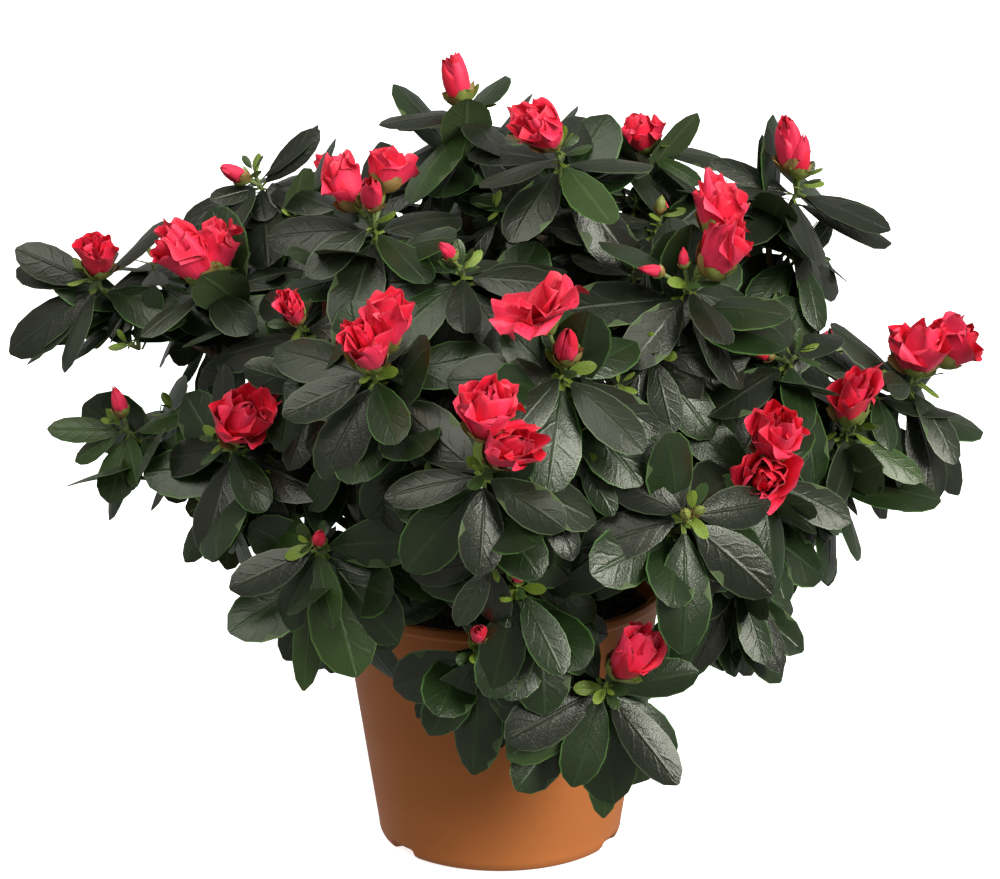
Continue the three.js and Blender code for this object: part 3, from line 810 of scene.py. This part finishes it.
def grow_flower(piece, foot, axis, kind, length, rng):
    """Adds one flower or bud, whose petals are patches of a cup, with a calyx of scales outside them.

    A patch runs up from the foot on a curve whose lean from the axis is a quadratic of the way up, and round
    the axis by its width over the radius there. Its margin is cut to a round, and its corners curl out. Folds
    that grow towards the margin are sine waves square to the patch. The whole cup is squashed on one side and
    leans a little."""
    first, second = across_and_along(axis)
    spin = rng.uniform(0, 2 * math.pi)
    squash, squash_turn = rng.uniform(*FLOWER_SPREAD["squash"]), rng.uniform(0, math.pi)
    tilt = rng.normal(0, FLOWER_SPREAD["tilt"], 2)
    closed = kind.endswith("bud")
    if closed:
        squash = 1.0
    outer_leans = FLOWERS[kind][0][3:6]
    calyx_leans = [through(*outer_leans, at * CALYX["length"]) - CALYX["hug"] for at in (0, 0.5, 1)]
    calyx = (CALYX["scales"], CALYX["length"], CALYX["width"], *calyx_leans, CALYX["fold"])
    for layer, row in enumerate(FLOWERS[kind] + [calyx]):
        count, reach, width, lean_foot, lean_middle, lean_margin, fold = row
        is_calyx = layer == len(FLOWERS[kind])
        rows, columns = SCALE_GRID if is_calyx else BUD_GRID if closed else PETAL_GRID
        u = np.linspace(0, 1, rows + 1) ** 0.85  # rows closer together towards the margin
        v = np.linspace(-1, 1, columns + 1)
        up = u[None, :, None]
        turn = spin + 2 * math.pi * np.arange(count) / count
        turn = turn + rng.normal(0, PETAL_SPREAD["turn"], count) + PETAL["layer_turn"] * layer
        reach = reach * length * rng.uniform(*PETAL_SPREAD["length"], count)[:, None, None]
        crimp = PETAL["crimp"] * np.sin(8 * v + rng.uniform(0, 2 * math.pi, count)[:, None, None])
        rounding = 1 - PETAL["round"] * width * np.abs(v) ** 2.2 + crimp
        step = np.diff(up * reach * rounding, axis=1, prepend=0)
        wander = rng.normal(0, PETAL_SPREAD["bud_wander" if closed else "wander"], count)[:, None, None]
        lean = np.radians(through(lean_foot, lean_middle, lean_margin, up)) + wander * up**1.5
        if not closed and not is_calyx:
            lean = lean + PETAL["corner_lean"] * v**2 * up**3
        gap = PETAL["gap"] + CALYX["gap"] * is_calyx
        radius = gap * length + np.cumsum(np.sin(lean) * step, axis=1)
        rise = np.cumsum(np.cos(lean) * step, axis=1)
        beats = rng.uniform(*PETAL_SPREAD["beats"], count)[:, None, None] * math.pi * v
        phase = rng.uniform(0, 2 * math.pi, count)[:, None, None]
        fine = PETAL["fine_fold"] * np.sin(PETAL["fine_beat"] * beats + 2 * phase) * up**3
        folds = np.sin(beats + phase) * up**1.5 + fine
        wave = fold * length * folds * np.clip(radius / (0.3 * length), 0, 1) * (1 - 0.5 * v**4)
        radius = radius + wave * np.cos(lean) + PETAL["skew"] * length * v * up
        rise = rise - wave * np.sin(lean)
        narrowing = 1 - PETAL["bud_narrowing" if closed else "narrowing"] * up**5
        widening = PETAL["foot_width"] + (1 - PETAL["foot_width"]) * smooth(-0.1, 0.6, up)
        half = 0.5 * width * length * widening * narrowing
        half_angle = np.minimum(half / np.maximum(radius, 0.12 * length), 1.6)  # at most about half way round
        angle = turn[:, None, None] + v * half_angle

        def placed(extra):
            distance = np.maximum(radius + extra, 0.2 * MM)
            x = squash * distance * np.cos(angle - squash_turn)
            y = distance * np.sin(angle - squash_turn)
            x, y = (
                x * math.cos(squash_turn) - y * math.sin(squash_turn) + tilt[0] * rise**2 / length,
                x * math.sin(squash_turn) + y * math.cos(squash_turn) + tilt[1] * rise**2 / length,
            )
            return foot + x[..., None] * first + y[..., None] * second + rise[..., None] * axis

        inner, outer = placed(0.0), placed(PETAL_THICKNESS * (1 - 0.5 * v**2))
        faces = pillow_faces(rows, columns)
        finishes = petal_finishes(kind, layer, is_calyx, count, len(faces) // 2, rng)
        piece.add(pillow_points(inner, outer), faces, pillow_uv(u, v), finishes, pillow_rim(rows, columns))


# ---- limbs ----


# Added to a limb's way, this gives a direction that the limb never takes.
ODD_WAY = np.array([0.31, 0.17, 0.23])


def tube(piece, path, radii, sides, finish, relief=None):
    """A closed limb: rings square to the path, each of the radius given there, with the relief's share added,
    and a cap at both ends that shrinks to nearly a point."""
    path, radii = np.asarray(path, float), np.asarray(radii, float)
    forward = unit(np.gradient(path, axis=0))
    first = unit(np.cross(forward, forward[0] + ODD_WAY))
    second = np.cross(forward, first)
    path = np.concatenate([path[:1], path, path[-1:]])
    first, second = (np.concatenate([a[:1], a, a[-1:]]) for a in (first, second))
    angle = circle(sides)
    ring = radii[:, None] * np.ones_like(angle)[None]
    if relief is not None:
        ring = ring * (1 + relief(np.linspace(0, 1, len(radii))[:, None], angle[None]))
    closed = np.full((1, sides), A_POINT)
    ring = np.concatenate([closed, ring, closed])
    round_it = np.cos(angle)[None, :, None] * first[:, None] + np.sin(angle)[None, :, None] * second[:, None]
    points = (path[:, None] + ring[..., None] * round_it).reshape(-1, 3)
    rings = len(path)
    piece.add(points[None], ring_faces(rings, sides), ring_uv(rings, angle / (2 * math.pi)), finish)


def limb(piece, path, size, finish, relief=None):
    """A tube that tapers evenly from a size's thick end to its thin one."""
    tube(piece, path, np.linspace(size["thick"], size["thin"], len(path)), size["sides"], finish, relief)


def arc(start, end, lift, steps):
    """Points from start to end on a curve that rises by lift in the middle."""
    t = np.linspace(0, 1, steps)[:, None]
    return start + (end - start) * t + 4 * lift * t * (1 - t) * UP


def node_points(name):
    """The points of a solid of the frame."""
    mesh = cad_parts[name].data
    points = np.zeros(len(mesh.vertices) * 3)
    mesh.vertices.foreach_get("co", points)
    return points.reshape(-1, 3)


def limb_line(name, steps=24):
    """The centre line of a bough's solid, from the trunk outwards: each coordinate is the quadratic of the
    way along the bough that fits its points best."""
    points = np.unique(np.round(node_points(name), 6), axis=0)
    near = points[np.argmin(np.linalg.norm(points - fork, axis=1))]
    far = points[np.argmax(np.linalg.norm(points - near, axis=1))]
    way = (points - near) @ unit(far - near)
    terms = np.polyfit(way, points, 2)
    t = np.linspace(way.min(), way.max(), steps)[:, None]
    return terms[0] * t**2 + terms[1] * t + terms[2]


def bark_relief(along, angle):
    """Shares of the radius: four low ridges that wind up the limb, and finer ones across them."""
    ridges = 0.07 * np.sin(4 * angle + 5 * along + 0.6 * np.sin(9 * along))
    return ridges + 0.035 * np.sin(9 * angle - 17 * along) + 0.03 * np.sin(31 * along + 2 * angle)


trunk_low, trunk_high = (np.array(corner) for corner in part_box("trunk"))
trunk_points = node_points("trunk")
fork = np.array([trunk_points[trunk_points[:, 2] > trunk_high[2] - MM][:, 0].mean(), 0.0, trunk_high[2]])
heart = np.array([0.0, 0.0, trunk_high[2] + 2.5 * MM])

masses = sorted(name[5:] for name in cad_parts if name.startswith("mass_"))
boughs = sorted(name[6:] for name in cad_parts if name.startswith("bough_"))
lines = {name: limb_line("bough_" + name) for name in boughs}


def grow_trunk():
    """The trunk, which flares into lobes at its foot, and the boughs, all with the relief of bark."""
    piece = Piece()
    t = np.linspace(0, 1, 40)
    foot = np.array([(trunk_low[0] + trunk_high[0]) / 2, 0, trunk_low[2]])
    path = foot + (fork - foot) * np.stack([smooth(0, 1, t), t, t], 1)
    foot_radius = (trunk_high[1] - trunk_low[1]) / 2
    flare = np.clip(1 - t / TRUNK["flare"], 0, 1) ** 2
    radii = TRUNK["radius"] + (foot_radius - TRUNK["radius"]) * flare

    def relief(along, angle):
        fading = np.clip(1 - along / TRUNK["root_height"], 0, 1)
        roots = TRUNK["root_depth"] * fading * np.sin(TRUNK["roots"] * angle + 1.2)
        return roots + bark_relief(2 * along, angle)

    tube(piece, path, radii, TRUNK["sides"], OLD, relief)
    for name in boughs:
        line = lines[name]
        inner = np.concatenate([[fork + 0.25 * (line[0] - fork) - 3 * MM * UP], line])
        limb(piece, inner, BOUGH, OLD, bark_relief)
    covered = ["trunk"] + ["bough_" + name for name in boughs]
    return piece.build("trunk_and_boughs", TWIG_FINISHES, covered, "bark")


# ---- the crown ----


def volume_centre(name):
    """The middle between the centre of a solid's box and the mean of its points."""
    points = np.unique(np.round(node_points(name), 6), axis=0)
    box_centre = 0.5 * (points.min(0) + points.max(0))
    return 0.5 * box_centre + 0.5 * points.mean(0)


def branch_start(name, core):
    """Where a mass's branch leaves its limb: the end of its own bough, or else the point of a bough's outer
    two thirds that is nearest to the core, with a leaning to points near the heart."""
    if name in lines:
        return lines[name][-1]
    spots = np.concatenate([line[len(line) // 3 :] for line in lines.values()])
    from_core = np.linalg.norm(spots - core, axis=1)
    return spots[np.argmin(from_core + 0.3 * np.linalg.norm(spots - heart, axis=1))]


def facing(towards, along):
    """The unit vector nearest to a direction that is square to the way along a leaf."""
    return unit(towards - towards.dot(along) * along)


def grow_mass(name, order, twigs, flowers):
    """One mass: a branch from the nearest limb, a twig to each whorl, and the main one's flowers. Returns its
    leaves, and the open place in front of each flower."""
    rng = np.random.default_rng([SEED, order])
    centre = volume_centre("mass_" + name)
    outward = unit(centre - heart)
    low = float(smooth(0.35, -0.25, outward[2]))  # 0 for a mass above the heart, 1 for one below it
    front = not name.startswith("back")
    axis = unit(outward + (0.6 + 0.15 * low) * UP - 0.35 * front * BACK)
    points = node_points("mass_" + name)
    span = 0.5 * np.linalg.norm((points.max(0) - points.min(0))[:2])
    core = centre - MASS["core"] * outward
    start = branch_start(name, core)
    lift = BRANCH["arch"] * np.linalg.norm(core - start)
    limb(twigs, arc(start, core, lift, BRANCH["steps"]), BRANCH, OLD, bark_relief)
    greenness = GREENNESS.get(name, GREEN_SHARE + GREEN_SHARE_LOW * low)
    rows = []

    def shoot(end, way, size, plan, hang):
        stem_foot = core + 0.15 * (end - core)
        lift = TWIG["arch"] * np.linalg.norm(end - stem_foot)
        stem = arc(stem_foot, end - 4 * MM * way, lift, TWIG["steps"])
        limb(twigs, np.concatenate([stem, [end + 2 * MM * way]]), TWIG, GREEN)
        rows.extend(whorl(end, way, size, plan, hang, greenness, rng))

    hang = 0.14 + 0.55 * low
    right, up = NUDGES.get(name, (0, 0))
    tip = centre + MASS["tip"] * axis + np.array([right, 0, up]) * MM
    shoot(tip, axis, MAIN_SIZE.get(name, 1.0), WHORL, hang)
    side_count = 1 if low > 0.8 and front else 3 if span > MASS["wide"] else 2
    first, second = across_and_along(outward)
    start_angle = rng.uniform(0, 2 * math.pi)
    for i in range(side_count):
        angle = start_angle + 2 * math.pi * i / side_count + rng.normal(0, SIDE_SHOOT["turn"])
        aside = math.cos(angle) * first + math.sin(angle) * second
        behind = rng.uniform(*SIDE_SHOOT["behind"]) * MM
        spot = centre + SIDE_SHOOT["aside"] * span * aside - behind * outward
        way = unit(axis + SIDE_SHOOT["lean"] * aside)
        shoot(spot, way, rng.uniform(*SIDE_SHOOT["size"]), SIDE_WHORL, hang)

    outer_face = outward + 0.3 * UP
    for _ in range(INNER["leaves"] if side_count > 1 else INNER["leaves"] // 2):
        out = unit(outward + INNER["scatter"] * rng.normal(0, 1, 3))
        along = unit(out - hang * UP)
        length = LEAF["length"] * rng.uniform(*INNER["length"])
        foot = core + rng.uniform(*INNER["depth"]) * MM * outward
        face, width, bend = facing(outer_face, along), INNER["width"] * length, rng.uniform(*INNER["bend"])
        rows.append((foot, along, face, length, width, bend, INNER["cup"], 0.0, DARK_GREEN))
    for way, length, slimness, green in OUTLINE_LEAVES.get(name, []):
        along = unit(np.array(way))
        face = facing(0.6 * axis + OUTLINE_LEAF["towards"], along)
        length *= MM
        foot = tip - OUTLINE_LEAF["behind"] * axis
        bend, cup, tint = OUTLINE_LEAF["bend"], OUTLINE_LEAF["cup"], FRESH if green else CHARCOAL
        rows.append((foot, along, face, length, slimness * length, bend, cup, 0.0, tint))

    views = []
    for kind, length, offset in BLOOMS.get(name, []):
        length *= MM
        middle = tip + np.array(offset) * MM
        base = tip - STALK["behind"] * axis
        way = unit(middle - base)
        foot = middle - 0.45 * length * way
        stalk = arc(base, foot + STALK["into_flower"] * length * way, 0.0, STALK["steps"])
        tube(flowers, stalk, np.full(len(stalk), STALK["radius"]), STALK["sides"], STALK_GREEN)
        grow_flower(flowers, foot, way, kind, length, rng)
        clear = unit(outer_face - 0.8 * front * BACK)
        view_start, view_end = middle + VIEW["start"] * length * clear, middle + VIEW["reach"] * clear
        views.append((view_start, view_end, VIEW["radius"] * length))
    return rows, views


def side_of(name):
    """Which of the four pieces of flowers a mass's flowers belong to."""
    if name.startswith("back"):
        return "back"
    return "left" if "left" in name else "right" if "right" in name else "front"


def grow_crown():
    """The leaves of each mass as one piece, all twigs as one, and the flowers as one for each side."""
    twigs = Piece()
    sides = {"front": Piece(), "left": Piece(), "right": Piece(), "back": Piece()}
    places = [(np.array(start) * MM, np.array(end) * MM, radius * MM) for start, end, radius in GAPS]
    leaves = {}
    for order, name in enumerate(masses):
        leaves[name], views = grow_mass(name, order, twigs, sides[side_of(name)])
        places.extend(views)
    for name in masses:
        piece = Piece()
        grow_leaves(piece, clear_leaves(leaves[name], places))
        piece.build("leaves_" + name, LEAF_FINISHES, ["mass_" + name], "foliage")
    twigs.build("twigs", TWIG_FINISHES, slot="bark")
    for side, piece in sides.items():
        piece.build("flowers_" + side, FLOWER_FINISHES, slot="petals")


# ---- the pot and its soil ----

POT = {"foot": 46 * MM, "shoulder": 49.5 * MM, "wall": 1.6 * MM, "corner": 0.9 * MM}
POT_SIDES, POT_STEP = 288, 2.5 * MM
NOTCH = {
    "count": 3,
    "first": -54 * DEGREE,
    "half_width": 6.5 * MM,
    "slope": 1.6 * MM,
    "height": 4.6 * MM,
    "from": (17 * MM, 19 * MM),  # how far from the axis the roof starts to rise, and where it is up
}
# The soil's top falls from the middle to the edge by the drop times the power of the way out.
SOIL = {"drop": 3.6 * MM, "power": 1.6, "sides": 220, "rings": 64, "bumps": 0.9 * MM, "sinking": 0.3 * MM}
SOIL_BUMPS = ((0.55, 9 * MM), (0.5, 3.2 * MM), (0.35, 1.4 * MM))  # the share and the size of each kind
CRUMB = {"count": 420, "size": (0.6, 2.0), "lumps": 0.22, "squash": (0.6, 1.3), "rings": 4, "sides": 6}
CRUMB_MARGIN = 3 * MM


def turned(profile, segments, name, material, replaces, slot, shape=None):
    """A closed body of revolution: the profile's points (radius, height), starting and ending on the axis,
    carried round it, and then moved by shape."""
    profile = np.array(profile, float)
    radius = np.maximum(profile[:, 0], A_POINT)
    angle = circle(segments)
    points = np.stack(
        [
            radius[:, None] * np.sin(angle)[None],
            -radius[:, None] * np.cos(angle)[None],
            profile[:, 1][:, None] * np.ones_like(angle)[None],
        ],
        -1,
    )
    if shape:
        points = shape(points)
    rings = len(profile)
    piece = Piece()
    piece.add(points.reshape(1, -1, 3), ring_faces(rings, segments), ring_uv(rings, angle), 0)
    return piece.build(name, [material], [replaces], slot)


def rounded(profile, radius_of_corner, steps=5):
    """The profile with each inner corner replaced by a quadratic curve that starts radius_of_corner from it,
    or just short of half way to the next corner where that is nearer."""
    profile = np.array(profile, float)
    result = [profile[0]]
    t = np.linspace(0, 1, steps)[:, None]
    for before, corner, after in zip(profile[:-2], profile[1:-1], profile[2:]):
        shorter = min(np.linalg.norm(before - corner), np.linalg.norm(after - corner))
        reach = min(radius_of_corner, 0.45 * shorter)
        start, end = corner + reach * unit(before - corner), corner + reach * unit(after - corner)
        result.extend((1 - t) ** 2 * start + 2 * t * (1 - t) * corner + t**2 * end)
    return np.array(result + [profile[-1]])


def divided(profile, longest):
    """The profile with points added so that no step is longer than longest."""
    result = [profile[0]]
    for start, end in zip(profile[:-1], profile[1:]):
        count = max(1, int(math.ceil(np.linalg.norm(end - start) / longest)))
        result.extend(start + (end - start) * k / count for k in range(1, count + 1))
    return np.array(result)


def make_pot():
    """The pot: its outline up the outside, over the lip and down the inside, turned round the axis, with the
    channels pressed up into its underside."""
    low, high = (np.array(corner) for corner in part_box("pot"))
    rim, height = (high[0] - low[0]) / 2, high[2]
    foot, shoulder, wall = POT["foot"], POT["shoulder"], POT["wall"]
    outline = [
        # the underside, raised a little inside its standing ring
        (0, 0.4 * MM),
        (foot - 5 * MM, 0.4 * MM),
        (foot - 3.5 * MM, 0),
        (foot - 0.4 * MM, 0),
        # the rounded foot and the shoulder
        (foot + 1.9 * MM, 1.2 * MM),
        (foot + 3.1 * MM, 3.6 * MM),
        (shoulder, 7 * MM),
        # the lip
        (rim - 1.3 * MM, height - 4.6 * MM),
        (rim, height - 3.8 * MM),
        (rim, height),
        (rim - 2.6 * MM, height),
        (rim - 2.9 * MM, height - 4 * MM),
        # the inside
        (shoulder - wall, 9 * MM),
        (shoulder - wall - 3 * MM, 6 * MM),
        (0, 6 * MM),
    ]

    def notched(points):
        """Raises what lies under the notches' roof: each is a channel in from the wall, with sloping
        sides."""
        roof = np.zeros(points.shape[:2])
        for i in range(NOTCH["count"]):
            turn = NOTCH["first"] + i * 2 * math.pi / NOTCH["count"]
            sideways = points[..., 0] * math.cos(turn) + points[..., 1] * math.sin(turn)
            outwards = points[..., 0] * math.sin(turn) - points[..., 1] * math.cos(turn)
            inside = smooth(NOTCH["half_width"] + NOTCH["slope"], NOTCH["half_width"], np.abs(sideways))
            roof = np.maximum(roof, NOTCH["height"] * inside * smooth(*NOTCH["from"], outwards))
        points[..., 2] = np.maximum(points[..., 2], roof)
        return points

    profile = divided(rounded(outline, POT["corner"]), POT_STEP)
    return turned(profile, POT_SIDES, "grow_pot", pot_finish(), "pot", "pot", notched)


def hills(x, y, size, rng, waves=14):
    """A rough field of about -1 to 1: the sum of sine waves of about one size that run in seeded directions,
    over the root of their number."""
    total = np.zeros_like(x)
    for _ in range(waves):
        turn, phase = rng.uniform(0, 2 * math.pi, 2)
        beat = 2 * math.pi * rng.uniform(0.7, 1.4) / size
        total += np.sin((x * math.cos(turn) + y * math.sin(turn)) * beat + phase)
    return total / math.sqrt(waves)


def make_soil():
    """The peat: a body of revolution with a domed top, which three sizes of bumps roughen."""
    low, high = (np.array(corner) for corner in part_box("soil"))
    edge = (high[0] - low[0]) / 2
    rng = np.random.default_rng(SEED)
    ways = np.linspace(1, 0, SOIL["rings"])
    top = [(edge * way, high[2] - SOIL["drop"] * way ** SOIL["power"]) for way in ways]
    outline = [(0, low[2]), (0.72 * edge, low[2]), (0.985 * edge, high[2] - 9 * MM)] + top

    def crumbled(points):
        x, y = points[..., 0], points[..., 1]
        rough = sum(share * hills(x, y, size, rng) for share, size in SOIL_BUMPS)
        on_top = smooth(high[2] - 8 * MM, high[2] - 5 * MM, points[..., 2])
        points[..., 2] += on_top * (SOIL["bumps"] * rough - SOIL["sinking"])
        return points

    return turned(np.array(outline), SOIL["sides"], "soil_surface", peat_finish(), "soil", "soil", crumbled)


def make_crumbs():
    """Loose crumbs of peat on the soil: small squashed balls, each with its own bumps."""
    low, high = (np.array(corner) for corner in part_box("soil"))
    edge = (high[0] - low[0]) / 2 - CRUMB_MARGIN
    rng = np.random.default_rng(SEED + 1)
    count, rings, sides = CRUMB["count"], CRUMB["rings"] + 1, CRUMB["sides"]
    distance = edge * np.sqrt(rng.uniform(0.03, 1, count))
    turn = rng.uniform(0, 2 * math.pi, count)
    size = rng.uniform(*CRUMB["size"], count) * MM
    ground = high[2] - SOIL["drop"] * (distance / (edge + CRUMB_MARGIN)) ** SOIL["power"]
    middle = np.stack([distance * np.sin(turn), -distance * np.cos(turn), ground + 0.2 * size], 1)
    polar = np.linspace(0.02, math.pi - 0.02, rings)[:, None]
    around = circle(sides)[None]
    ball = np.stack(
        [
            np.sin(polar) * np.cos(around),
            np.sin(polar) * np.sin(around),
            np.cos(polar) * np.ones_like(around),
        ],
        -1,
    ).reshape(-1, 3)
    lumps = 1 + CRUMB["lumps"] * rng.normal(0, 1, (count, len(ball), 1))
    squash = rng.uniform(*CRUMB["squash"], (count, 1, 3))
    points = middle[:, None] + size[:, None, None] * ball[None] * lumps * squash
    faces = ring_faces(rings, sides)[:, [0, 3, 2, 1]]  # turned round, because the rings run from the top down
    piece = Piece()
    piece.add(points, faces, np.zeros((len(ball), 2)), 0)
    return piece.build("soil_crumbs", [bpy.data.materials["moist_peat"]], slot="soil")


# ---- the studio ----

AMBIENT = 0.33  # the brightness of the studio's white walls, as light; they look white themselves
FLOOR_HALF = 4.0
FLOOR_GLOW = 0.8

# Far, soft lights: where each one shines from, its strength, its softness in degrees, and whether it gives
# highlights.
SUNS = {
    "key": ((1.0, -0.9, 0.95), 3.6, 30, True),
    "top": ((-0.3, -0.5, 1.4), 1.75, 50, True),
    "back": ((-0.7, 1.2, 0.7), 1.1, 60, False),
}
SUN_TARGET = (0, 0, 0.18)

CAMERA = {"distance": 1.5, "elevation": 15.5 * DEGREE, "target": (0, 0, 0.1655), "lens": 135.85, "sensor": 36}


def aim(thing, target):
    """Turns a camera or lamp at a place so that it looks at the target, level."""
    ahead = unit(np.array(target, float) - np.array(thing.location))
    thing.rotation_euler = (math.acos(-ahead[2]), 0, math.atan2(-ahead[0], ahead[1]))


def make_walls():
    """The world: white to the camera, and AMBIENT as a light."""
    world = bpy.data.worlds.new("studio")
    world.use_nodes = True
    nodes, links = world.node_tree.nodes, world.node_tree.links
    seen = nodes.new("ShaderNodeMapRange")
    seen.inputs["To Min"].default_value, seen.inputs["To Max"].default_value = AMBIENT, 1.0
    links.new(nodes.new("ShaderNodeLightPath").outputs["Is Camera Ray"], seen.inputs["Value"])
    nodes["Background"].inputs["Color"].default_value = (1, 1, 1, 1)
    links.new(seen.outputs["Result"], nodes["Background"].inputs["Strength"])
    bpy.context.scene.world = world


def make_floor():
    """A pale floor that glows a little, and throws no light on the plant."""
    half = FLOOR_HALF
    corners = [(-half, -half, 0), (half, -half, 0), (half, half, 0), (-half, half, 0)]
    mesh = bpy.data.meshes.new("floor")
    mesh.from_pydata(corners, [], [(0, 1, 2, 3)])
    floor = bpy.data.objects.new("floor", mesh)
    bpy.context.scene.collection.objects.link(floor)
    pale = Finish("floor_pale", (0.92, 0.92, 0.92), 0.9)
    pale.colour(pale.mix(pale.noise(3), (0.91, 0.91, 0.91), (0.93, 0.93, 0.93)))
    pale.set(Emission_Color=(1, 1, 1, 1), Emission_Strength=FLOOR_GLOW)
    mesh.materials.append(pale.material)
    floor.visible_diffuse = floor.visible_glossy = False


def make_suns():
    for name, (place, strength, softness, glossy) in SUNS.items():
        light = bpy.data.lights.new(name, "SUN")
        light.energy, light.angle = strength, softness * DEGREE
        lamp = bpy.data.objects.new(name, light)
        bpy.context.scene.collection.objects.link(lamp)
        lamp.location = place
        lamp.visible_glossy = glossy
        aim(lamp, SUN_TARGET)


def make_camera():
    scene = bpy.context.scene
    camera_data = bpy.data.cameras.new("camera")
    camera_data.lens, camera_data.sensor_width = CAMERA["lens"], CAMERA["sensor"]
    camera = bpy.data.objects.new("camera", camera_data)
    scene.collection.objects.link(camera)
    distance, elevation, target = CAMERA["distance"], CAMERA["elevation"], CAMERA["target"]
    camera.location = (0, -distance * math.cos(elevation), target[2] + distance * math.sin(elevation))
    aim(camera, target)
    scene.camera = camera


make_pot()
make_soil()
make_crumbs()
grow_trunk()
grow_crown()
bpy.context.scene.view_settings.view_transform = "Standard"
make_walls()
make_floor()
make_suns()
make_camera()
